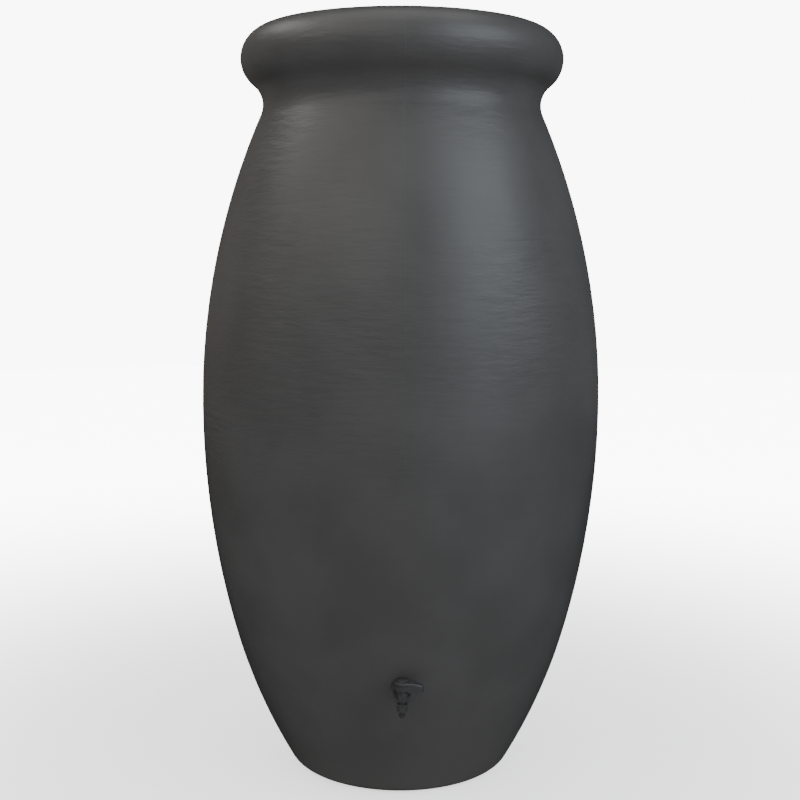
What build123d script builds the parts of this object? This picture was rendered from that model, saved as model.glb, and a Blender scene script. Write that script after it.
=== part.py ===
from build123d import *

import os
from math import asin, atan2, cos, degrees, radians, sin, sqrt

# Rain barrel in the shape of an amphora, about 250 litres, with a tap at its foot, a lid and a leaf strainer.
#
# Millimetres, +Z up. The origin is the centre of the flat base, and the tap faces -Y.
# The barrel's outline is a chain of tangent arcs. The tap has two axes: the inlet's, along Y at tap_height,
# and the valve's, upright in front of it. Heights on the tap are measured from the inlet's axis.

os.makedirs("parts", exist_ok=True)

# Barrel.
overall_height = 1170.0
wall = 5.0
belly_radius = 317.0
belly_height = 583.0
lower_side_radius = 1356.0
foot_arc_top = 223.5
foot_flat_radius = 160.0
foot_corner_radius = 24.0
neck_radius = 218.0
neck_hollow_radius = 40.0
rim_radius = 252.0
rim_roll_radius = 47.3
lip_roll_radius = 29.0
lid_recess = 50.0
ledge_width = 14.0
ledge_fillet = 4.0

# The flat pad that the tap seats on.
tap_height = 195.0
tap_pad_margin = 3.6
pad_flare = 12.0
tap_hole_clearance = 0.3

# Tap body: inlet.
thread_pitch = 1.8
thread_depth = 0.9
thread_clearance = 0.15
inlet_thread_radius = 10.4
inlet_reach = 22.0
inlet_bore_radius = 3.6
tap_flange_rim = 2.2
tap_flange = 3.0
tap_gasket_rim = 2.0
tap_gasket = 2.0
tap_hex_rim = 2.1
tap_hex = 5.0
tap_neck_wall = 2.7
back_nut_rim = 5.6
back_nut = 8.0
back_nut_room = 3.0

# Tap body: valve housing and spout.
valve_reach = 26.0
housing_wall = 3.1
housing_top = 14.0
housing_shoulder = 9.0
housing_taper_top = 6.0
housing_heel_wall = 1.8
housing_heel = -5.5
valve_bore_radius = 5.2
valve_floor = -4.6
spout_waist_wall = 2.0
spout_waist = -9.5
spout_thread_radius = 5.9
spout_thread_top = -10.9
spout_end = -16.3
spout_bore_radius = 2.9

# Valve plug, its seals and its stop.
plug_clearance = 0.08
plug_end_clearance = 0.1
plug_port_radius = 2.6
o_ring_section_radius = 0.75
o_ring_gap = 0.02
o_ring_lower = 5.6
o_ring_upper = 9.2
stop_lug_reach = 1.6
stop_lug = 2.0
stop_lug_angle = 30.0
stop_clearance_angle = 2.0
valve_turn = 90.0
stem_radius = 3.4
stem_clearance = 0.1
drive_square = 4.6
drive_clearance = 0.05
drive_length = 5.0

# Bonnet.
bonnet_wall = 2.2
bonnet_plate = 2.2
bonnet_gap = 0.2
bonnet_flutes = 18
bonnet_flute_radius = 0.6

# Lever, its screw and its cap. The paddle's outline is given from the valve's axis, as
# (reach, height).
lever_gap = 0.4
lever_hub_overhang = 1.6
lever_hub_foot = 12.0
lever_hub_top = 23.5
lever_groove = 0.8
lever_groove_height = 18.4
lever_reach = 30.4
lever_tip_radius = 7.0
lever_tip_top = 17.5
lever_foot = 9.2
lever_heel = (6.0, 9.0)
lever_wall = 1.8
lever_fillet = 2.4
cap_step = 3.6
cap_recess_step = 2.3
cap_edge = 0.6
cap_rise = 2.4
cap_skirt = 1.1
screw_head_gap = 0.7
screw_head = 1.5
screw_radius = 1.4
screw_length = 8.0
screw_slot = 0.8
fit_gap = 0.05

# Outlet: washer, nut and hose tail.
outlet_washer = 1.2
tail_flange = 1.7
tail_flange_gap = 0.3
tail_wall = 1.1
tail_length = 9.5
tail_barb_rise = 0.7
tail_barb = 3.6
outlet_nut_wall = 2.1
outlet_nut_floor = 1.8
outlet_nut_rise = 0.6
outlet_nut_grips = 12
outlet_grip_radius = 0.9

# Lid.
lid_sheet = 3.5
lid_clearance = 1.5
lid_edge_rise = 9.0
lid_skirt_clearance = 2.5
lid_skirt = 13.0
lid_fall = 10.0
well_radius = 62.0
well_depth = 13.0
seat_width = 8.0
lid_rib_count = 8
lid_rib = 2.6
grip_place = 118.0
grip_span = 92.0
grip_rise = 24.0
grip_bar = 7.0
grip_depth = 11.0
grip_fillet = 3.0

# Strainer.
strainer_sheet = 2.4
strainer_clearance = 1.0
strainer_depth = 46.0
strainer_taper = 9.0
strainer_ledge = 5.0
strainer_slots = 24
strainer_slot_width = 4.0
strainer_slot_margin = 7.0
mesh_sheet = 0.8
mesh_pitch = 6.0
mesh_hole = 4.4
mesh_border = 3.0
bail_wire_radius = 2.2
bail_rise = 18.0


def at(centre, radius, angle):
    """The point of a circle at an angle in radians."""
    return (centre[0] + radius * cos(angle), centre[1] + radius * sin(angle))


# Radii on the tap that follow its inlet, its valve and its spout.
tap_flange_radius = inlet_thread_radius + tap_flange_rim
tap_gasket_radius = inlet_thread_radius + tap_gasket_rim
tap_hex_radius = inlet_thread_radius + tap_hex_rim
tap_neck_radius = inlet_bore_radius + tap_neck_wall
tap_pad_radius = tap_gasket_radius + tap_pad_margin
back_nut_radius = inlet_thread_radius + back_nut_rim
housing_radius = valve_bore_radius + housing_wall
housing_heel_radius = valve_bore_radius + housing_heel_wall
bonnet_radius = housing_radius - thread_clearance + bonnet_wall
lever_hub_radius = bonnet_radius + lever_hub_overhang
cap_radius = lever_hub_radius - cap_step
cap_recess_radius = cap_radius - cap_recess_step
screw_head_radius = cap_recess_radius - cap_skirt - screw_head_gap
spout_waist_radius = spout_bore_radius + spout_waist_wall
tail_flange_radius = spout_thread_radius - tail_flange_gap
outlet_nut_radius = spout_thread_radius + outlet_nut_wall
tail_radius = spout_bore_radius + tail_wall
tail_barb_radius = tail_radius + tail_barb_rise

# Rim and neck: the roll touches the top, the neck's hollow touches the roll, and the upper side touches
# the hollow and the belly's upright tangent.
roll_centre = (rim_radius - rim_roll_radius, overall_height - rim_roll_radius)
neck_across = neck_radius + neck_hollow_radius - roll_centre[0]
neck_drop = sqrt((rim_roll_radius + neck_hollow_radius) ** 2 - neck_across**2)
neck_centre = (neck_radius + neck_hollow_radius, roll_centre[1] - neck_drop)
roll_angle = atan2(neck_centre[1] - roll_centre[1], neck_centre[0] - roll_centre[0])
shoulder_across = neck_centre[0] - belly_radius
shoulder_rise = neck_centre[1] - belly_height
shoulder_span = shoulder_across**2 + shoulder_rise**2 - neck_hollow_radius**2
upper_side_radius = shoulder_span / (2 * (neck_hollow_radius - shoulder_across))
upper_side_centre = (belly_radius - upper_side_radius, belly_height)
shoulder_angle = atan2(shoulder_rise, neck_centre[0] - upper_side_centre[0])

# Foot: its arc touches the lower side at foot_arc_top and the corner's circle at the base.
lower_side_centre = (belly_radius - lower_side_radius, belly_height)
lower_angle = asin((foot_arc_top - belly_height) / lower_side_radius)
foot_start = at(lower_side_centre, lower_side_radius, lower_angle)
corner_centre = (foot_flat_radius, foot_corner_radius)
corner_across = foot_start[0] - corner_centre[0]
corner_rise = foot_start[1] - corner_centre[1]
corner_span = corner_across**2 + corner_rise**2 - foot_corner_radius**2
corner_along = corner_across * cos(lower_angle) + corner_rise * sin(lower_angle)
foot_side_radius = corner_span / (2 * (corner_along - foot_corner_radius))
foot_side_centre = at(foot_start, -foot_side_radius, lower_angle)
corner_angle = atan2(corner_centre[1] - foot_side_centre[1], corner_centre[0] - foot_side_centre[0])

# The mouth inside the rolled rim, with the ledge that carries the lid.
lip_centre = (roll_centre[0], overall_height - lip_roll_radius)
mouth_radius = lip_centre[0] - lip_roll_radius
ledge_height = overall_height - lid_recess
ledge_bore_radius = mouth_radius - ledge_width


def outer_radius(height):
    """Radius of the barrel's outside at a height on its sides."""
    if height < foot_arc_top:
        centre, radius = foot_side_centre, foot_side_radius
    elif height < belly_height:
        centre, radius = lower_side_centre, lower_side_radius
    else:
        centre, radius = upper_side_centre, upper_side_radius
    return centre[0] + sqrt(radius**2 - (height - centre[1]) ** 2)


# The tap's planes: the pad's face, the inlet's section (inwards, up) and the valve's section
# (towards +X, up).
pad_face = Plane(origin=(0, -outer_radius(tap_height), tap_height), x_dir=(1, 0, 0), z_dir=(0, -1, 0))
inlet_section = Plane(origin=pad_face.origin, x_dir=(0, 1, 0), z_dir=(1, 0, 0))
inlet_axis = Axis(pad_face.origin, (0, 1, 0))
valve_section = Plane(origin=pad_face.offset(valve_reach).origin, x_dir=(1, 0, 0), z_dir=(0, -1, 0))
valve_plan = Plane(origin=valve_section.origin, x_dir=(1, 0, 0), z_dir=(0, 0, 1))
valve_axis = Axis(valve_section.origin, (0, 0, 1))

# Places on the tap.
flange_face = tap_gasket
hex_face = flange_face + tap_flange
inner_gasket_end = wall + tap_gasket
bonnet_top = housing_top + bonnet_gap + bonnet_plate
plug_radius = valve_bore_radius - plug_clearance
plug_bottom = valve_floor + plug_end_clearance
o_ring_radius = valve_bore_radius - o_ring_gap - o_ring_section_radius
groove_radius = o_ring_radius - o_ring_section_radius - o_ring_gap
groove_half = o_ring_section_radius + fit_gap
plug_top = housing_top - plug_end_clearance
lever_bottom = bonnet_top + lever_gap
drive_top = lever_bottom + drive_length
cap_skirt_foot = drive_top + fit_gap
washer_bottom = spout_end - outlet_washer
tail_top = washer_bottom
tail_shoulder = tail_top - tail_flange
outlet_nut_bottom = tail_shoulder - outlet_nut_floor
tail_end = outlet_nut_bottom - tail_length


def arc(centre, radius, start, end):
    """An arc of the current line between two angles in radians."""
    return CenterArc(centre, radius, degrees(start), degrees(end - start))


def side_line(inset):
    """The outline from the base's edge to the top of the rim, inset from the barrel's outside."""
    arc(corner_centre, foot_corner_radius - inset, -radians(90), corner_angle)
    arc(foot_side_centre, foot_side_radius - inset, corner_angle, lower_angle)
    arc(lower_side_centre, lower_side_radius - inset, lower_angle, 0)
    arc(upper_side_centre, upper_side_radius - inset, 0, shoulder_angle)
    arc(neck_centre, neck_hollow_radius + inset, radians(180) + shoulder_angle, radians(180) + roll_angle)
    arc(roll_centre, rim_roll_radius - inset, roll_angle, radians(90))


def mouth_line(inset):
    """The outline from the top of the rim down the mouth and along the ledge."""
    arc(lip_centre, lip_roll_radius - inset, radians(90), radians(180))
    fillet_centre = (mouth_radius - ledge_fillet, ledge_height + ledge_fillet)
    Line((mouth_radius + inset, lip_centre[1]), (mouth_radius + inset, fillet_centre[1]))
    arc(fillet_centre, ledge_fillet + inset, 0, -radians(90))
    Line((fillet_centre[0], ledge_height - inset), (ledge_bore_radius, ledge_height - inset))


def vessel(inset):
    """The barrel's outside as a solid up to the ledge, or with the wall as its inset, the space in it."""
    with BuildPart() as body:
        with BuildSketch(Plane.XZ):
            with BuildLine():
                Line((0, inset), (foot_flat_radius, inset))
                side_line(inset)
                mouth_line(inset)
                Polyline((ledge_bore_radius, ledge_height - inset), (0, ledge_height - inset), (0, inset))
            make_face()
        revolve(axis=Axis.Z)
    return body.part


def hollow():
    """The space inside the barrel, kept off the pad's back and let in to seat the back nut on it."""
    pad_back = pad_face.offset(-wall)
    with BuildPart() as space:
        add(vessel(wall))
        with Locations(pad_back):
            Cylinder(
                tap_pad_radius + wall,
                pad_flare + wall,
                align=(Align.CENTER, Align.CENTER, Align.MIN),
                mode=Mode.SUBTRACT,
            )
            Cylinder(
                back_nut_radius + back_nut_room,
                pad_flare + wall,
                align=(Align.CENTER, Align.CENTER, Align.MAX),
            )
    return space.part


def turn(points, plane, axis, mode=Mode.ADD):
    """Turns an outline about an axis into the current part."""
    with BuildSketch(plane) as outline:
        with BuildLine():
            Polyline(*points, close=True)
        make_face()
    revolve(outline.sketch, axis=axis, mode=mode)


def thread(radius, start, end):
    """Crests and roots of a ringed thread between two places, as (place, radius) points."""
    turns = int(abs(end - start) / thread_pitch)
    step = thread_pitch if end > start else -thread_pitch
    points = [(start, radius - thread_depth)]
    for index in range(turns):
        points.append((start + (index + 0.5) * step, radius))
        points.append((start + (index + 1) * step, radius - thread_depth))
    return points


def swapped(points):
    """The same points with their two coordinates swapped."""
    return [(second, first) for first, second in points]


def sector(plane, radius, middle, spread, height, mode):
    """An upright wedge about the plane's origin, between the angles around its middle."""
    with BuildSketch(plane) as wedge:
        with BuildLine():
            start = at((0, 0), radius, radians(middle - spread / 2))
            end = at((0, 0), radius, radians(middle + spread / 2))
            Line((0, 0), start)
            CenterArc((0, 0), radius, middle - spread / 2, spread)
            Line(end, (0, 0))
        make_face()
    extrude(wedge.sketch, amount=height, mode=mode)


# Barrel: one skin of even thickness, turned up into a rolled rim and in to the lid's ledge.
with BuildPart() as barrel_shell:
    add(vessel(0))
    with Locations(pad_face):
        Cone(
            tap_pad_radius + pad_flare,
            tap_pad_radius,
            pad_flare,
            align=(Align.CENTER, Align.CENTER, Align.MAX),
        )
        Cone(
            tap_pad_radius,
            tap_pad_radius + pad_flare,
            pad_flare,
            align=(Align.CENTER, Align.CENTER, Align.MIN),
            mode=Mode.SUBTRACT,
        )
    add(hollow(), mode=Mode.SUBTRACT)
    with Locations(pad_face):
        Cylinder(inlet_thread_radius + tap_hole_clearance, 4 * wall, mode=Mode.SUBTRACT)
    with Locations((0, 0, ledge_height)):
        Cylinder(ledge_bore_radius, 4 * wall, mode=Mode.SUBTRACT)

# Tap body: threaded inlet, flange, hexagon and neck in one moulding with the valve's housing and the spout.
with BuildPart() as tap_body:
    stub = thread(inlet_thread_radius, inlet_reach - thread_pitch / 2, 0)
    root = inlet_thread_radius - thread_depth
    inlet_outline = [(inlet_reach, 0), (inlet_reach, root)] + stub + [
        (-flange_face, root),
        (-flange_face, tap_flange_radius),
        (-hex_face, tap_flange_radius),
        (-hex_face, tap_neck_radius),
        (-valve_reach, tap_neck_radius),
        (-valve_reach, 0),
    ]
    turn(inlet_outline, inlet_section, inlet_axis)
    with BuildSketch(pad_face.offset(hex_face)):
        RegularPolygon(tap_hex_radius, 6)
    extrude(amount=tap_hex)
    housing_thread = thread(housing_radius, housing_top, housing_shoulder)
    spout_thread = thread(spout_thread_radius, spout_thread_top, spout_end + thread_pitch / 2)
    housing_outline = [(0, housing_top)] + swapped(housing_thread) + [
        (housing_radius - thread_depth, housing_shoulder),
        (housing_radius, housing_shoulder),
        (housing_radius, housing_taper_top),
        (housing_heel_radius, housing_heel),
        (spout_waist_radius, spout_waist),
        (spout_waist_radius, spout_thread_top),
    ] + swapped(spout_thread) + [
        (spout_thread_radius - thread_depth, spout_end),
        (0, spout_end),
    ]
    turn(housing_outline, valve_section, valve_axis)
    with Locations(valve_plan.offset(valve_floor)):
        Cylinder(
            valve_bore_radius,
            housing_top - valve_floor,
            align=(Align.CENTER, Align.CENTER, Align.MIN),
            mode=Mode.SUBTRACT,
        )
    with Locations(valve_plan):
        Cylinder(
            spout_bore_radius,
            -spout_end,
            align=(Align.CENTER, Align.CENTER, Align.MAX),
            mode=Mode.SUBTRACT,
        )
    with Locations(pad_face.offset(valve_reach)):
        Cylinder(
            inlet_bore_radius,
            valve_reach + inlet_reach,
            align=(Align.CENTER, Align.CENTER, Align.MAX),
            mode=Mode.SUBTRACT,
        )
    sector(
        valve_plan.offset(housing_top - stop_lug - plug_end_clearance - plug_clearance),
        plug_radius + stop_lug_reach + plug_clearance,
        180 - valve_turn / 2,
        valve_turn + stop_lug_angle + 2 * stop_clearance_angle,
        2 * stop_lug,
        Mode.SUBTRACT,
    )

# Tap gaskets: one between the flange and the pad, one between the back nut and the pad's back.
gasket_bore_radius = inlet_thread_radius + tap_hole_clearance


def washer(plane, outer, bore, thickness):
    """A flat ring that stands on a plane."""
    with BuildSketch(plane) as ring:
        Circle(outer)
        Circle(bore, mode=Mode.SUBTRACT)
    extrude(ring.sketch, amount=thickness)


with BuildPart() as tap_outer_gasket:
    washer(pad_face, tap_gasket_radius, gasket_bore_radius, tap_gasket)

with BuildPart() as tap_inner_gasket:
    washer(pad_face.offset(-inner_gasket_end), tap_gasket_radius, gasket_bore_radius, tap_gasket)

# Back nut: a six-sided moulded nut with a washer face, inside the barrel.
with BuildPart() as tap_back_nut:
    back_nut_start = inner_gasket_end + back_nut
    with BuildSketch(pad_face.offset(-back_nut_start)):
        RegularPolygon(back_nut_radius, 6)
    extrude(amount=back_nut)
    nut_thread = thread(inlet_thread_radius + thread_clearance, inlet_reach - thread_pitch / 2, 0)
    turn([(inlet_reach, 0)] + nut_thread + [(0, 0)], inlet_section, inlet_axis, Mode.SUBTRACT)
    chamfer(tap_back_nut.faces().filter_by(Axis.Y).sort_by(Axis.Y)[-1].outer_wire().edges(), 0.8)

# Valve plug: hollow below, with a side port, a stop lug, a stem and a square for the lever.
with BuildPart() as valve_plug:
    with Locations(valve_plan.offset(plug_bottom)):
        Cylinder(plug_radius, plug_top - plug_bottom, align=(Align.CENTER, Align.CENTER, Align.MIN))
    with Locations(valve_plan.offset(plug_top)):
        Cylinder(stem_radius, lever_bottom - plug_top, align=(Align.CENTER, Align.CENTER, Align.MIN))
    with BuildSketch(valve_plan.offset(lever_bottom)):
        Rectangle(drive_square, drive_square)
    extrude(amount=drive_length)
    sector(
        valve_plan.offset(plug_top - stop_lug),
        plug_radius + stop_lug_reach,
        180,
        stop_lug_angle,
        stop_lug,
        Mode.ADD,
    )
    with Locations(valve_plan.offset(plug_bottom)):
        Cylinder(
            plug_port_radius,
            plug_port_radius - plug_bottom,
            align=(Align.CENTER, Align.CENTER, Align.MIN),
            mode=Mode.SUBTRACT,
        )
    with Locations(Plane(origin=valve_plan.origin, x_dir=(0, 1, 0), z_dir=(-1, 0, 0))):
        Cylinder(
            plug_port_radius,
            2 * plug_radius,
            align=(Align.CENTER, Align.CENTER, Align.MIN),
            mode=Mode.SUBTRACT,
        )
    for ring_height in (o_ring_lower, o_ring_upper):
        groove_outline = [
            (groove_radius, ring_height - groove_half),
            (plug_radius + 1, ring_height - groove_half),
            (plug_radius + 1, ring_height + groove_half),
            (groove_radius, ring_height + groove_half),
        ]
        turn(groove_outline, valve_section, valve_axis, Mode.SUBTRACT)
    with Locations(valve_plan.offset(drive_top)):
        Cylinder(
            screw_radius + fit_gap,
            screw_length,
            align=(Align.CENTER, Align.CENTER, Align.MAX),
            mode=Mode.SUBTRACT,
        )


def o_ring(height):
    """A seal in the plug's groove at a height."""
    with BuildPart() as ring:
        with Locations(valve_plan.offset(height)):
            Torus(o_ring_radius, o_ring_section_radius)
    return ring.part


with BuildPart() as valve_lower_o_ring:
    add(o_ring(o_ring_lower))

with BuildPart() as valve_upper_o_ring:
    add(o_ring(o_ring_upper))

# Bonnet: a fluted cap that screws onto the housing and keeps the plug in.
with BuildPart() as valve_bonnet:
    with BuildSketch(valve_plan.offset(housing_shoulder)) as bonnet_plan:
        Circle(bonnet_radius)
        with PolarLocations(bonnet_radius, bonnet_flutes):
            Circle(bonnet_flute_radius, mode=Mode.SUBTRACT)
    extrude(amount=bonnet_top - bonnet_gap - housing_shoulder)
    with Locations(valve_plan.offset(bonnet_top - bonnet_gap)):
        Cylinder(
            bonnet_radius - bonnet_flute_radius,
            bonnet_gap,
            align=(Align.CENTER, Align.CENTER, Align.MIN),
        )
    bonnet_thread = thread(housing_radius + thread_clearance, housing_top, housing_shoulder)
    bonnet_outline = [(0, housing_top + bonnet_gap), (bonnet_thread[0][1], housing_top + bonnet_gap)]
    bonnet_outline += swapped(bonnet_thread)
    bonnet_outline += [(bonnet_thread[-1][1], housing_shoulder), (0, housing_shoulder)]
    turn(bonnet_outline, valve_section, valve_axis, Mode.SUBTRACT)
    with Locations(valve_plan.offset(bonnet_top)):
        Cylinder(stem_radius + stem_clearance, 4 * bonnet_plate, mode=Mode.SUBTRACT)


def lever_blank(inset):
    """The lever's hub and paddle without their holes, or what an even wall leaves inside them."""
    top = lever_hub_top - inset
    tip = (lever_reach, lever_tip_top - inset)
    with BuildPart() as blank:
        with BuildSketch(valve_plan.offset(lever_foot)):
            Circle(lever_hub_radius - inset)
            with Locations((lever_reach - lever_tip_radius, 0)):
                Circle(lever_tip_radius - inset)
            make_hull()
        extrude(amount=lever_hub_top - lever_foot)
        with BuildSketch(valve_section):
            with BuildLine():
                Polyline(
                    (0, top),
                    (-lever_hub_radius, top),
                    (-lever_hub_radius, lever_hub_foot),
                    (lever_heel[0], lever_hub_foot),
                    (lever_heel[1], lever_foot),
                    (lever_reach, lever_foot),
                    tip,
                )
                TangentArc((0, top), tip, tangent=(1, 0))
            make_face()
        extrude(amount=2 * lever_hub_radius, both=True, mode=Mode.INTERSECT)
    return blank.part


def lever_hollow():
    """The open underside of the paddle, beside the hub's solid core."""
    with BuildPart() as space:
        add(lever_blank(lever_wall))
        with Locations(valve_plan.offset(lever_foot)):
            Cylinder(lever_hub_radius, lever_hub_top, mode=Mode.SUBTRACT)
    return space.part


# Lever: a hub over the bonnet and a paddle that droops beside it, moulded hollow from below.
with BuildPart() as valve_lever:
    add(lever_blank(0))
    crown = valve_lever.faces().filter_by(lambda face: face.normal_at().Z > 0.5)
    fillet(crown.edges().filter_by(GeomType.LINE, reverse=True), lever_fillet)
    groove_outline = [
        (lever_hub_radius - lever_groove, lever_groove_height),
        (lever_hub_radius + lever_groove, lever_groove_height),
        (lever_hub_radius + lever_groove, lever_groove_height + lever_groove),
        (lever_hub_radius - lever_groove, lever_groove_height + lever_groove),
    ]
    turn(groove_outline, valve_section, valve_axis, Mode.SUBTRACT)
    add(lever_hollow(), mode=Mode.SUBTRACT)
    with Locations(valve_plan.offset(lever_bottom)):
        Cylinder(
            bonnet_radius + lever_gap,
            lever_bottom - lever_foot,
            align=(Align.CENTER, Align.CENTER, Align.MAX),
            mode=Mode.SUBTRACT,
        )
    with BuildSketch(valve_plan.offset(lever_bottom)):
        Rectangle(drive_square + 2 * drive_clearance, drive_square + 2 * drive_clearance)
    extrude(amount=drive_length, mode=Mode.SUBTRACT)
    with Locations(valve_plan.offset(lever_hub_top)):
        Cylinder(
            cap_recess_radius + fit_gap,
            lever_hub_top - drive_top,
            align=(Align.CENTER, Align.CENTER, Align.MAX),
            mode=Mode.SUBTRACT,
        )

# Lever screw: a crosshead screw down into the plug's stem.
with BuildPart() as lever_screw:
    with Locations(valve_plan.offset(drive_top)):
        Cylinder(screw_head_radius, screw_head, align=(Align.CENTER, Align.CENTER, Align.MIN))
        Cylinder(screw_radius, screw_length - fit_gap, align=(Align.CENTER, Align.CENTER, Align.MAX))
    chamfer(lever_screw.faces().sort_by(Axis.Z)[-1].edges(), screw_head / 3)
    with BuildSketch(valve_plan.offset(drive_top + screw_head)):
        Rectangle(screw_head_radius, screw_slot)
        Rectangle(screw_slot, screw_head_radius)
    extrude(amount=-screw_head / 2, mode=Mode.SUBTRACT)

# Lever cap: a dome that snaps into the hub and hides the screw.
with BuildPart() as lever_cap:
    with BuildSketch(valve_section):
        with BuildLine():
            dome_edge = (cap_radius, lever_hub_top + cap_edge)
            dome_top = (0, lever_hub_top + cap_rise)
            dome_side = (0.75 * cap_radius, lever_hub_top + 0.62 * cap_rise)
            skirt_radius = cap_recess_radius - cap_skirt
            underside = lever_hub_top + cap_edge
            ThreePointArc(dome_top, dome_side, dome_edge)
            Polyline(
                dome_edge,
                (cap_radius, lever_hub_top),
                (cap_recess_radius, lever_hub_top),
                (cap_recess_radius, cap_skirt_foot),
                (skirt_radius, cap_skirt_foot),
                (skirt_radius, underside),
                (0, underside),
                dome_top,
            )
        make_face()
    revolve(axis=valve_axis)

# Outlet washer: seals the hose tail against the spout's end.
with BuildPart() as outlet_seal:
    washer(valve_plan.offset(washer_bottom), tail_flange_radius, spout_bore_radius, outlet_washer)

# Outlet nut: a gripped ring that pulls the hose tail onto the spout.
with BuildPart() as outlet_nut:
    nut_top = spout_waist - outlet_nut_rise
    with BuildSketch(valve_plan.offset(outlet_nut_bottom)):
        Circle(outlet_nut_radius)
        with PolarLocations(outlet_nut_radius + outlet_grip_radius / 3, outlet_nut_grips):
            Circle(outlet_grip_radius, mode=Mode.SUBTRACT)
    extrude(amount=nut_top - outlet_nut_bottom)
    chamfer(outlet_nut.faces().sort_by(Axis.Z)[0].outer_wire().edges(), 0.4)
    chamfer(outlet_nut.faces().sort_by(Axis.Z)[-1].outer_wire().edges(), 0.4)
    nut_bore = spout_thread_radius + thread_clearance
    spout_nut_thread = thread(nut_bore, spout_thread_top, spout_end + thread_pitch / 2)
    nut_outline = [(0, nut_top), (nut_bore - thread_depth, nut_top)] + swapped(spout_nut_thread)
    nut_outline += [(nut_bore, spout_end), (nut_bore, tail_shoulder), (0, tail_shoulder)]
    turn(nut_outline, valve_section, valve_axis, Mode.SUBTRACT)
    with Locations(valve_plan.offset(outlet_nut_bottom)):
        Cylinder(tail_radius + thread_clearance, 4 * outlet_nut_floor, mode=Mode.SUBTRACT)

# Hose tail: a flanged spigot with one barb at its mouth.
with BuildPart() as hose_tail:
    tail_outline = [
        (spout_bore_radius, tail_top),
        (tail_flange_radius, tail_top),
        (tail_flange_radius, tail_shoulder),
        (tail_radius, tail_shoulder),
        (tail_radius, tail_end + tail_barb),
        (tail_barb_radius, tail_end + tail_barb),
        (tail_radius - 0.4, tail_end),
        (spout_bore_radius, tail_end),
    ]
    turn(tail_outline, valve_section, valve_axis)

# Lid: a plate that falls to a well in its middle, with a turned-up edge, a locating skirt, ribs and two
# grips.
lid_radius = mouth_radius - lid_clearance
skirt_radius_outside = ledge_bore_radius - lid_skirt_clearance
skirt_radius_inside = skirt_radius_outside - lid_sheet
plate_edge = ledge_height + lid_sheet
well_top = plate_edge - lid_fall
well_seat = well_top - well_depth
seat_radius = well_radius - seat_width
well_outside = well_radius + lid_sheet


def plate_top(radius):
    """Height of the lid's sloping plate at a radius between the well and the skirt."""
    return well_top + lid_fall * (radius - well_radius) / (skirt_radius_outside - well_radius)


with BuildPart() as lid:
    lid_outline = [
        (lid_radius - ledge_fillet, ledge_height),
        (lid_radius, ledge_height + ledge_fillet),
        (lid_radius, ledge_height + lid_edge_rise),
        (lid_radius - lid_sheet, ledge_height + lid_edge_rise),
        (lid_radius - lid_sheet, plate_edge),
        (skirt_radius_outside, plate_edge),
        (well_radius, well_top),
        (well_radius, well_seat),
        (seat_radius, well_seat),
        (seat_radius, well_seat - lid_sheet),
        (well_outside, well_seat - lid_sheet),
        (well_outside, plate_top(well_outside) - lid_sheet),
        (skirt_radius_inside, plate_top(skirt_radius_inside) - lid_sheet),
        (skirt_radius_inside, ledge_height - lid_skirt),
        (skirt_radius_outside, ledge_height - lid_skirt),
        (skirt_radius_outside, ledge_height),
    ]
    turn(lid_outline, Plane.XZ, Axis.Z)
    with BuildSketch(Plane.XZ) as rib_outline:
        with BuildLine():
            Polyline(
                (well_outside - lid_sheet / 2, ledge_height - lid_skirt),
                (skirt_radius_inside + lid_sheet / 2, ledge_height - lid_skirt),
                (skirt_radius_inside + lid_sheet / 2, plate_top(skirt_radius_inside) - lid_sheet / 2),
                (well_outside - lid_sheet / 2, plate_top(well_outside) - lid_sheet / 2),
                close=True,
            )
        make_face()
    rib = extrude(rib_outline.sketch, amount=lid_rib / 2, both=True, mode=Mode.PRIVATE)
    with PolarLocations(0, lid_rib_count, start_angle=180 / lid_rib_count):
        add(rib)
    for grip_side in (-1, 1):
        grip_foot = plate_top(grip_place - grip_depth / 2) - lid_sheet / 2
        grip_top = plate_top(grip_place) + grip_rise
        grip_plane = Plane(
            origin=(grip_side * grip_place - grip_depth / 2, 0, grip_foot),
            x_dir=(0, 1, 0),
            z_dir=(1, 0, 0),
        )
        with BuildSketch(grip_plane) as grip_outline:
            rise = grip_top - grip_foot
            Rectangle(grip_span, rise, align=(Align.CENTER, Align.MIN))
            fillet(grip_outline.vertices().group_by(Axis.Z)[-1], 2 * grip_fillet)
            with Locations((0, -grip_fillet)):
                RectangleRounded(
                    grip_span - 2 * grip_bar,
                    rise - grip_bar + grip_fillet,
                    grip_fillet,
                    align=(Align.CENTER, Align.MIN),
                    mode=Mode.SUBTRACT,
                )
        extrude(grip_outline.sketch, amount=grip_depth)

# Strainer: a slotted basket that hangs in the lid's well, with a floor ring for the mesh and a lifting bail.
strainer_flange_radius = well_radius - strainer_clearance
strainer_top_radius = seat_radius - strainer_clearance
strainer_floor_radius = strainer_top_radius - strainer_taper
strainer_floor = well_seat - strainer_depth
strainer_rim = well_seat + strainer_sheet
mesh_opening_radius = strainer_floor_radius - strainer_sheet - strainer_ledge

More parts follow.
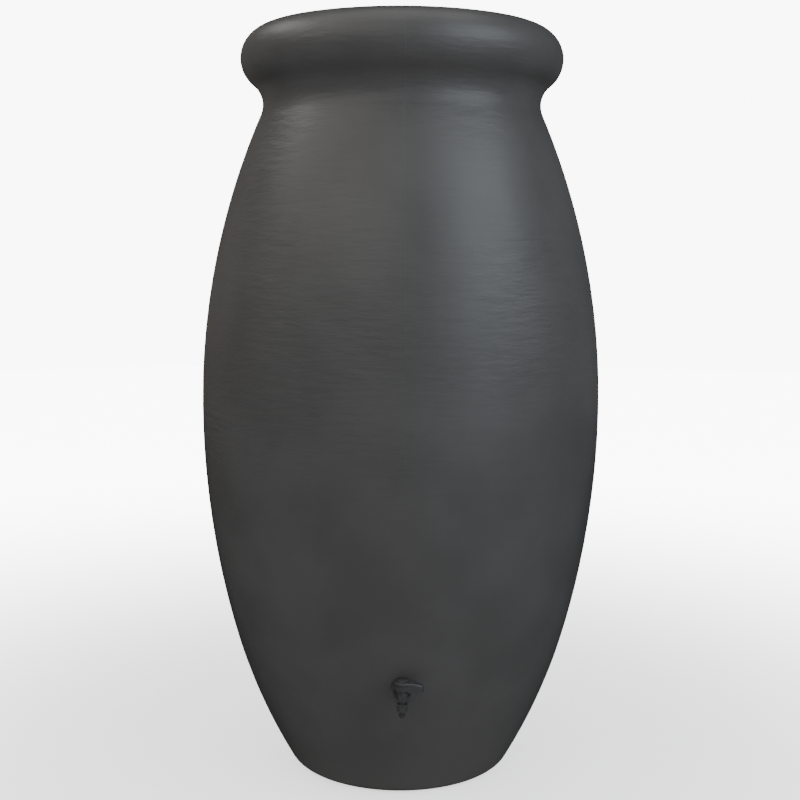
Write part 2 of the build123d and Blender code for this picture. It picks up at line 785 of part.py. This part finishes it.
with BuildPart() as strainer_basket:
    basket_outline = [
        (strainer_top_radius - strainer_sheet, strainer_rim),
        (strainer_flange_radius, strainer_rim),
        (strainer_flange_radius, well_seat),
        (strainer_top_radius, well_seat),
        (strainer_floor_radius, strainer_floor),
        (mesh_opening_radius, strainer_floor),
        (mesh_opening_radius, strainer_floor + strainer_sheet),
        (strainer_floor_radius - strainer_sheet, strainer_floor + strainer_sheet),
    ]
    turn(basket_outline, Plane.XZ, Axis.Z)
    slot_height = strainer_depth - 2 * strainer_slot_margin
    with Locations((0, 0, well_seat - strainer_depth / 2)):
        with PolarLocations(strainer_top_radius, strainer_slots):
            Box(4 * strainer_taper, strainer_slot_width, slot_height, mode=Mode.SUBTRACT)
    with BuildLine() as bail_path:
        bail_foot_radius = strainer_flange_radius - 2 * bail_wire_radius
        ThreePointArc(
            (-bail_foot_radius, 0, strainer_rim),
            (0, 0, strainer_rim + bail_rise),
            (bail_foot_radius, 0, strainer_rim),
        )
    with BuildSketch(Plane(origin=bail_path.line @ 0, z_dir=bail_path.line % 0)):
        Circle(bail_wire_radius)
    sweep(path=bail_path.line)

# Mesh: a perforated disc on the basket's floor ring.
with BuildPart() as strainer_mesh:
    mesh_radius = strainer_floor_radius - strainer_sheet - strainer_clearance
    with BuildSketch(Plane.XY.offset(strainer_floor + strainer_sheet)):
        Circle(mesh_radius)
        count = int(mesh_radius / mesh_pitch)
        for column in range(-count, count + 1):
            for row in range(-count, count + 1):
                place = (column * mesh_pitch, row * mesh_pitch)
                if sqrt(place[0] ** 2 + place[1] ** 2) + mesh_hole < mesh_radius - mesh_border:
                    with Locations(place):
                        Rectangle(mesh_hole, mesh_hole, mode=Mode.SUBTRACT)
    extrude(amount=mesh_sheet)

pieces = {
    "barrel_shell": barrel_shell,
    "tap_body": tap_body,
    "tap_outer_gasket": tap_outer_gasket,
    "tap_inner_gasket": tap_inner_gasket,
    "tap_back_nut": tap_back_nut,
    "valve_plug": valve_plug,
    "valve_lower_o_ring": valve_lower_o_ring,
    "valve_upper_o_ring": valve_upper_o_ring,
    "valve_bonnet": valve_bonnet,
    "valve_lever": valve_lever,
    "lever_screw": lever_screw,
    "lever_cap": lever_cap,
    "outlet_seal": outlet_seal,
    "outlet_nut": outlet_nut,
    "hose_tail": hose_tail,
    "lid": lid,
    "strainer_basket": strainer_basket,
    "strainer_mesh": strainer_mesh,
}
for name, piece in pieces.items():
    piece.part.label = name
    export_step(piece.part, f"parts/{name}.step")
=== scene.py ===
from math import cos, pi, radians, sin

import bpy
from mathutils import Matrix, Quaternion, Vector


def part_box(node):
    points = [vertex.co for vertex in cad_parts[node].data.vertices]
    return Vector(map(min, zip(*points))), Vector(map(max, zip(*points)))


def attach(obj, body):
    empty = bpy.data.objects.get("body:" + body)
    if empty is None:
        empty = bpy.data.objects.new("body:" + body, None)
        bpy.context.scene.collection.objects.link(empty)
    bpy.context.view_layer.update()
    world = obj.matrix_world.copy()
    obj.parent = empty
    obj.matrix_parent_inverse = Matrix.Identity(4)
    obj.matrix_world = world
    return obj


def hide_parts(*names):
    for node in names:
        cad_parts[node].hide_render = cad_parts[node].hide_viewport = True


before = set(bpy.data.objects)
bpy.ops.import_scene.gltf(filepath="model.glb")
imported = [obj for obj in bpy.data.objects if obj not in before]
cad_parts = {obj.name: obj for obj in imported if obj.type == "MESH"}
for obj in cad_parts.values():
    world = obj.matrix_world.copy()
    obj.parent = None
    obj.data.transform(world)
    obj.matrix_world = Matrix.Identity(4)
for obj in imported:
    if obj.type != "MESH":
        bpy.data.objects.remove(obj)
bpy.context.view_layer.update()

# Barrel. One hollow vessel, rotationally moulded from anthracite polyethylene powder in a two-part mould.
# The mould's sandblasted face leaves a fine grain, and its parting line a faint upright seam in front and
# behind. The cooling skin draws into level ripples, and a few pinholes stay.
skin_dark = (0.052, 0.051, 0.050, 1)
skin_light = (0.061, 0.060, 0.059, 1)
skin_dust = (0.100, 0.093, 0.082, 1)
skin_blobs = 7.0
swell_blobs = 5.0
swell_relief = 0.0006
ripple_length = 0.045
ripple_rise = 0.010
ripple_relief = 0.0013
ripple_patch_blobs = 3.2
ripple_start, ripple_full = 0.30, 0.62
seam_half = 0.0022
seam_relief = 0.00022
seam_start, seam_full = 0.80, 1.02
grain_size = 0.0016
grain_relief = 0.00007
pinhole_spacing = 0.045
pinhole_relief = 0.0004
pinhole_floor, pinhole_lip = 0.012, 0.035
splash_top, splash_full = 0.16, 0.06
splash_blobs = 14.0
splash_share = 0.16


class Value:
    """The output of a shader node, with arithmetic that adds Math nodes."""

    def __init__(self, finish, socket):
        self.finish = finish
        self.socket = socket

    def combine(self, operation, first, second):
        return self.finish.node("ShaderNodeMath", {"operation": operation}, {0: first, 1: second})

    def __add__(self, other):
        return self.combine("ADD", self, other)

    def __radd__(self, other):
        return self.combine("ADD", other, self)

    def __rsub__(self, other):
        return self.combine("SUBTRACT", other, self)

    def __mul__(self, other):
        return self.combine("MULTIPLY", self, other)

    def __rmul__(self, other):
        return self.combine("MULTIPLY", other, self)


class Finish:
    """A material whose shader is put together node by node."""

    def __init__(self, name, constants):
        self.material = bpy.data.materials.new(name)
        self.material.use_nodes = True
        self.tree = self.material.node_tree
        self.shader = self.tree.nodes["Principled BSDF"]
        for socket, value in constants.items():
            self.shader.inputs[socket].default_value = value

    def node(self, kind, settings, inputs, output=0):
        """Adds a node: its settings first, then the values or links of its sockets."""
        made = self.tree.nodes.new(kind)
        for name, value in settings.items():
            setattr(made, name, value)
        for socket, value in inputs.items():
            if isinstance(value, Value):
                self.tree.links.new(value.socket, made.inputs[socket])
            else:
                made.inputs[socket].default_value = value
        return Value(self, made.outputs[output])

    def place(self, scale=(1, 1, 1)):
        """The point on the object, in metres, with each axis scaled."""
        point = self.node("ShaderNodeTexCoord", {}, {}, "Object")
        return self.node("ShaderNodeMapping", {}, {"Vector": point, "Scale": scale})

    def cloud(self, point, scale, detail=3.0, roughness=0.5):
        """Soft noise from 0 to 1 at a number of blobs to the metre."""
        inputs = {"Vector": point, "Scale": scale, "Detail": detail, "Roughness": roughness}
        return self.node("ShaderNodeTexNoise", {}, inputs)

    def step(self, value, low, high):
        """0 below low, 1 above high and smooth between; the other way round if low is the larger."""
        inputs = {"Value": value, "From Min": low, "From Max": high}
        return self.node("ShaderNodeMapRange", {"interpolation_type": "SMOOTHSTEP"}, inputs)

    def tint(self, share, first, second):
        """A colour between two others."""
        return self.node("ShaderNodeMix", {"data_type": "RGBA"}, {0: share, 6: first, 7: second}, 2)

    def height(self, point):
        """How far up the object the point is."""
        return self.node("ShaderNodeSeparateXYZ", {}, {"Vector": point}, "Z")

    def bump(self, relief, distance, strength=1.0, normal=None):
        """A bump from a relief of 0 to 1 and its full height in metres, on top of another."""
        inputs = {"Height": relief, "Distance": distance, "Strength": strength}
        if normal:
            inputs["Normal"] = normal
        return self.node("ShaderNodeBump", {}, inputs)

    def feed(self, socket, value):
        self.tree.links.new(value.socket, self.shader.inputs[socket])

    def coat(self, *nodes):
        """Gives CAD nodes or pieces this material."""
        for node in nodes:
            node.data.materials.clear()
            node.data.materials.append(self.material)


skin = Finish("moulded_polyethylene", {"Specular IOR Level": 0.5, "IOR": 1.51})
skin_point = skin.place()
skin_height = skin.height(skin_point)
upper = skin.step(skin_height, ripple_start, ripple_full)
ripple_point = skin.place((1 / ripple_length, 1 / ripple_length, 1 / ripple_rise))
ripple = skin.cloud(ripple_point, 1.0, 3.0, 0.55)
swell = skin.cloud(skin_point, swell_blobs, 2.0)
grain = skin.cloud(skin_point, 1 / grain_size, 2.0)
pinhole = skin.node(
    "ShaderNodeTexVoronoi",
    {"feature": "F1"},
    {"Vector": skin_point, "Scale": 1 / pinhole_spacing, "Randomness": 1.0},
    "Distance",
)
pinhole_wall = skin.step(pinhole, pinhole_floor, pinhole_lip)
ripple_patch = skin.step(skin.cloud(skin_point, ripple_patch_blobs, 1.0), 0.38, 0.62)
across_seam = skin.node("ShaderNodeSeparateXYZ", {}, {"Vector": skin_point}, "X")
seam_line = skin.step(across_seam.combine("ABSOLUTE", across_seam, 0.0), seam_half, 0.0)
seam_line = seam_line * (0.25 + 0.75 * skin.step(skin_height, seam_start, seam_full))
skin_normal = skin.bump(swell, swell_relief)
wrinkle = ripple * (0.3 + 0.7 * ripple_patch) * (0.15 + 0.85 * upper)
skin_normal = skin.bump(wrinkle, ripple_relief, 1.0, skin_normal)
skin_normal = skin.bump(seam_line, seam_relief, 1.0, skin_normal)
skin_normal = skin.bump(grain, grain_relief, 1.0, skin_normal)
skin_normal = skin.bump(pinhole_wall, pinhole_relief, 1.0, skin_normal)
skin_cloud = skin.step(skin.cloud(skin_point, skin_blobs, 5.0), 0.3, 0.7)
skin_colour = skin.tint(skin_cloud, skin_dark, skin_light)
splash_edge = 0.12 * skin.cloud(skin_point, splash_blobs, 4.0)
splash = skin.step(skin_height + splash_edge, splash_top, splash_full)
skin_colour = skin.tint(splash_share * splash, skin_colour, skin_dust)
skin.feed("Base Color", skin_colour)
skin.feed("Roughness", 0.37 + 0.10 * skin.cloud(skin_point, 16.0, 4.0) + 0.12 * splash)
skin.feed("Normal", skin_normal)
skin.coat(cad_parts["barrel_shell"])

# Tap. Injection moulded from dark grey nylon: the body with its threaded inlet, the fluted bonnet, the
# lever and its cap, the outlet nut and the hose tail. Spark-eroded moulds leave an even matt grain, and
# handling rubs the high spots.
tap_dark = (0.036, 0.036, 0.036, 1)
tap_worn = (0.07, 0.069, 0.068, 1)
rub_blobs = 120.0
tap_grain_blobs = 1800.0
tap_grain_relief = 0.00004
tap_parts = (
    "tap_body",
    "tap_back_nut",
    "valve_plug",
    "valve_bonnet",
    "valve_lever",
    "lever_cap",
    "outlet_nut",
    "hose_tail",
)

nylon = Finish("moulded_nylon", {"Specular IOR Level": 0.5, "IOR": 1.53})
nylon_point = nylon.place()
rub = nylon.step(nylon.cloud(nylon_point, rub_blobs, 5.0, 0.6), 0.5, 0.72)
nylon.feed("Base Color", nylon.tint(0.5 * rub, tap_dark, tap_worn))
nylon.feed("Roughness", 0.40 - 0.12 * rub + 0.08 * nylon.cloud(nylon_point, 400.0, 3.0))
tap_grain = nylon.cloud(nylon_point, tap_grain_blobs, 2.0)
nylon.feed("Normal", nylon.bump(tap_grain, tap_grain_relief))
nylon.coat(*(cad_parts[part] for part in tap_parts))

# Seals. Black rubber: two flat gaskets where the tap passes the wall, the washer in the outlet nut and two
# O-rings.
seal_black = (0.012, 0.012, 0.012, 1)
seal_bloom = (0.035, 0.034, 0.032, 1)
bloom_blobs = 260.0
seal_grain_blobs = 1500.0
seal_grain_relief = 0.00003
seal_parts = (
    "tap_outer_gasket",
    "tap_inner_gasket",
    "outlet_seal",
    "valve_lower_o_ring",
    "valve_upper_o_ring",
)

rubber = Finish("seal_rubber", {"Specular IOR Level": 0.3})
rubber_point = rubber.place()
bloom = rubber.cloud(rubber_point, bloom_blobs, 4.0)
rubber.feed("Base Color", rubber.tint(bloom, seal_black, seal_bloom))
rubber.feed("Roughness", 0.62 + 0.2 * bloom)
seal_grain = rubber.cloud(rubber_point, seal_grain_blobs, 2.0)
rubber.feed("Normal", rubber.bump(seal_grain, seal_grain_relief))
rubber.coat(*(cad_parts[part] for part in seal_parts))

# Lever screw. Stainless steel, turned, with a crosshead, hidden under the lever's cap.
steel_dark = (0.46, 0.46, 0.45, 1)
steel_light = (0.62, 0.61, 0.6, 1)
turning_scale = (300, 300, 9000)
steel_scratch_blobs = 900.0
steel_scratch_relief = 0.00002
steel = Finish("turned_steel", {"Metallic": 1.0})
steel_point = steel.place()
turning = steel.cloud(steel.place(turning_scale), 1.0, 2.0)
steel.feed("Base Color", steel.tint(turning, steel_dark, steel_light))
steel.feed("Roughness", 0.28 + 0.15 * turning)
steel_scratch = steel.cloud(steel_point, steel_scratch_blobs, 3.0)
steel.feed("Normal", steel.bump(steel_scratch, steel_scratch_relief))
steel.coat(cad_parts["lever_screw"])

# Lid and strainer basket. Polypropylene, moulded in the barrel's colour. Rain leaves a film of dust that
# gathers towards the well in the lid's middle and in the corner of its turned-up edge.
lid_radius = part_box("lid")[1].x
lid_dark = (0.040, 0.040, 0.041, 1)
lid_light = (0.058, 0.057, 0.056, 1)
lid_silt = (0.15, 0.135, 0.11, 1)
lid_blobs = 9.0
lid_swell_blobs = 4.0
lid_swell_relief = 0.0008
lid_grain_blobs = 900.0
lid_grain_relief = 0.00005
silt_blobs = 60.0
silt_share = 0.4
silt_edge_blobs = 22.0
silt_well_start, silt_well_full = 0.125, 0.075
silt_edge_start, silt_edge_full = 0.005, 0.03

lid_plastic = Finish("moulded_polypropylene", {"Specular IOR Level": 0.5, "IOR": 1.49})
lid_point = lid_plastic.place()
across = lid_plastic.node(
    "ShaderNodeVectorMath",
    {"operation": "LENGTH"},
    {0: lid_plastic.node("ShaderNodeVectorMath", {"operation": "MULTIPLY"}, {0: lid_point, 1: (1, 1, 0)})},
    "Value",
)
facing_up = lid_plastic.height(lid_plastic.node("ShaderNodeNewGeometry", {}, {}, "Normal"))
ragged = 0.05 * lid_plastic.cloud(lid_point, silt_edge_blobs, 5.0)
near_well = lid_plastic.step(across + ragged, silt_well_start, silt_well_full)
near_edge = lid_plastic.step(across + ragged, lid_radius + silt_edge_start, lid_radius + silt_edge_full)
silt = (near_well + near_edge) * lid_plastic.step(facing_up, 0.5, 0.95)
silt = silt * lid_plastic.step(lid_plastic.cloud(lid_point, silt_blobs, 6.0, 0.65), 0.35, 0.7)
lid_colour = lid_plastic.tint(lid_plastic.cloud(lid_point, lid_blobs, 4.0), lid_dark, lid_light)
lid_plastic.feed("Base Color", lid_plastic.tint(silt_share * silt, lid_colour, lid_silt))
lid_plastic.feed("Roughness", 0.36 + 0.12 * lid_plastic.cloud(lid_point, 30.0, 4.0) + 0.25 * silt)
lid_normal = lid_plastic.bump(lid_plastic.cloud(lid_point, lid_swell_blobs, 1.0), lid_swell_relief)
lid_grain = lid_plastic.cloud(lid_point, lid_grain_blobs, 2.0)
lid_normal = lid_plastic.bump(lid_grain, lid_grain_relief, 1.0, lid_normal)
lid_plastic.feed("Normal", lid_normal)
lid_plastic.coat(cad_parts["lid"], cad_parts["strainer_basket"])

# Strainer mesh. Woven stainless wire that lies on the basket's floor ring: each wire passes over one and
# under the next, and the disc is cut round from the roll.
mesh_low, mesh_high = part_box("strainer_mesh")
mesh_radius = mesh_high.x
wire_pitch = 0.0018
wire_thickness = 0.00045
weave_rise = 0.00012
smooth_below = 40
wire_dark = (0.34, 0.33, 0.31, 1)
wire_light = (0.60, 0.59, 0.57, 1)
tarnish_blobs = 90.0


def leave_alone():
    """Leaves object mode ready for a new piece, with nothing selected."""
    bpy.ops.object.select_all(action="DESELECT")


def settle(piece, body):
    """Applies a finished piece's place and hands it to the body that it moves with."""
    bpy.ops.object.transform_apply(location=True, rotation=True, scale=True)
    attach(piece, body)


leave_alone()
cells = int(2 * mesh_radius / wire_pitch)
middle = (0, 0, (mesh_low.z + mesh_high.z) / 2)
bpy.ops.mesh.primitive_grid_add(
    x_subdivisions=cells,
    y_subdivisions=cells,
    size=cells * wire_pitch,
    location=middle,
)
woven = bpy.context.object
woven.name = "woven_mesh"
bpy.ops.object.mode_set(mode="EDIT")
bpy.ops.mesh.select_all(action="DESELECT")
bpy.ops.object.mode_set(mode="OBJECT")
reach = mesh_radius - wire_thickness
for corner in woven.data.vertices:
    corner.select = corner.co.xy.length > reach
bpy.ops.object.mode_set(mode="EDIT")
bpy.ops.mesh.delete(type="VERT")
bpy.ops.object.mode_set(mode="OBJECT")
for corner in woven.data.vertices:
    column = round(corner.co.x / wire_pitch)
    row = round(corner.co.y / wire_pitch)
    corner.co.z += weave_rise if (column + row) % 2 else -weave_rise
bpy.ops.object.modifier_add(type="WIREFRAME")
woven.modifiers["Wireframe"].thickness = wire_thickness
woven.modifiers["Wireframe"].use_even_offset = False
bpy.ops.object.modifier_apply(modifier="Wireframe")
bpy.ops.object.shade_smooth_by_angle(angle=radians(smooth_below))
settle(woven, "strainer")
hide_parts("strainer_mesh")

wire = Finish("woven_wire", {"Metallic": 1.0})
wire_point = wire.place()
tarnish = wire.cloud(wire_point, tarnish_blobs, 4.0)
wire.feed("Base Color", wire.tint(tarnish, wire_dark, wire_light))
wire.feed("Roughness", 0.25 + 0.3 * tarnish)
wire.coat(woven)

# Studio. A pale paper floor with a painted glow, dim near the barrel and full white further out, so that it
# runs into an evenly lit white backdrop; a wide dim window on the left, a high cool one on the right over a
# pale wall, a ceiling lamp, and dim lights behind that lift the rim and the outline.
floor_radius = 7.0
backdrop_radius = 14.0
paper_near = 0.45
paper_far = 2.6
paper_glow = 9.0
near_glow = 0.14
paper_white = (0.86, 0.86, 0.86, 1)
paper_shade = (0.82, 0.82, 0.82, 1)
paper_blobs = 2.0
full_white = (1, 1, 1, 1)
air_colour = (0.98, 0.98, 1.0, 1)
air_strength = 0.92

leave_alone()
bpy.ops.mesh.primitive_circle_add(vertices=96, radius=floor_radius, fill_type="NGON", location=(0, 0, 0))
floor = bpy.context.object
floor.name = "studio_floor"
paper_look = {"Roughness": 0.9, "Specular IOR Level": 0.1, "Emission Strength": paper_glow}
paper = Finish("studio_paper", paper_look)
paper_point = paper.place()
paper.feed("Base Color", paper.tint(paper.cloud(paper_point, paper_blobs, 2.0), paper_shade, paper_white))
away = paper.node("ShaderNodeVectorMath", {"operation": "LENGTH"}, {0: paper_point}, "Value")
# Painted glow: the floor itself glows, dimly near the barrel and rising to full white between paper_near and
# paper_far; it lights nothing else.
painted_glow_near = (near_glow, near_glow, near_glow, 1)
paper.feed("Emission Color", paper.tint(paper.step(away, paper_near, paper_far), painted_glow_near, full_white))
paper.coat(floor)
floor.visible_glossy = False
floor.visible_diffuse = False

leave_alone()
bpy.ops.mesh.primitive_uv_sphere_add(segments=48, ring_count=24, radius=backdrop_radius)
backdrop = bpy.context.object
backdrop.name = "studio_backdrop"
bpy.ops.object.shade_smooth()
white_light = {"Base Color": (0, 0, 0, 1), "Emission Color": full_white, "Emission Strength": paper_glow}
glow = Finish("studio_glow", white_light)
glow.coat(backdrop)
backdrop.visible_diffuse = False
backdrop.visible_glossy = False
backdrop.visible_transmission = False
backdrop.visible_volume_scatter = False
backdrop.visible_shadow = False

world = bpy.data.worlds.new("studio_air")
world.use_nodes = True
world.node_tree.nodes["Background"].inputs["Color"].default_value = air_colour
world.node_tree.nodes["Background"].inputs["Strength"].default_value = air_strength
bpy.context.scene.world = world
world.cycles_visibility.glossy = False

belly = Vector((0, 0, 0.6))


def softbox(name, turn, lift, distance, width, height, power, colour):
    """A rectangular light that faces the belly, at an angle round from the front and a lift above level."""
    side = Vector((sin(radians(turn)), -cos(radians(turn)), 0))
    place = belly + distance * (cos(radians(lift)) * side + sin(radians(lift)) * Vector((0, 0, 1)))
    bpy.ops.object.light_add(type="AREA", location=place)
    lamp = bpy.context.object
    lamp.name = name
    lamp.rotation_mode = "QUATERNION"
    lamp.rotation_quaternion = (belly - place).to_track_quat("-Z", "Y")
    lamp.data.shape = "RECTANGLE"
    lamp.data.size = width
    lamp.data.size_y = height
    lamp.data.energy = power
    lamp.data.color = colour


softbox("window_left", -50, 42, 3.2, width=5.0, height=2.0, power=32, colour=(1.0, 0.95, 0.88))
softbox("window_right", 54, 32, 3.2, width=2.5, height=2.0, power=44, colour=(0.80, 0.90, 1.0))
softbox("wall_right", 42, 4, 3.2, width=2.4, height=2.0, power=9, colour=(0.72, 0.86, 1.0))
softbox("ceiling", 0, 86, 3.0, width=3.0, height=2.0, power=22, colour=(1.0, 0.99, 0.97))
softbox("lamp_rim", -108, 48, 3.2, width=1.6, height=1.0, power=15, colour=(1.0, 0.97, 0.93))
softbox("wall_behind_left", -140, 12, 3.2, width=4.0, height=2.4, power=4, colour=(1.0, 0.88, 0.76))
softbox("wall_behind_right", 140, 12, 3.2, width=4.0, height=2.4, power=3, colour=(0.98, 0.98, 1.0))

# Camera. A long lens in front of the tap, a little below the rim and a little to the left. It looks slightly
# down.
camera_turn = -0.8
camera_aside = -0.001
camera_distance = 2.0096
camera_height = 0.8315
camera_pitch = 0.1203
camera_roll = 0.00403
camera_lens = 56.2

round_barrel = Quaternion((0, 0, 1), radians(camera_turn))
bpy.ops.object.camera_add(location=round_barrel @ Vector((camera_aside, -camera_distance, camera_height)))
camera = bpy.context.object
camera.name = "camera"
camera.data.lens = camera_lens
camera.data.sensor_width = 36.0
camera.rotation_mode = "QUATERNION"
level = Quaternion((1, 0, 0), pi / 2 - camera_pitch)
camera.rotation_quaternion = round_barrel @ level @ Quaternion((0, 0, 1), camera_roll)
bpy.context.scene.camera = camera
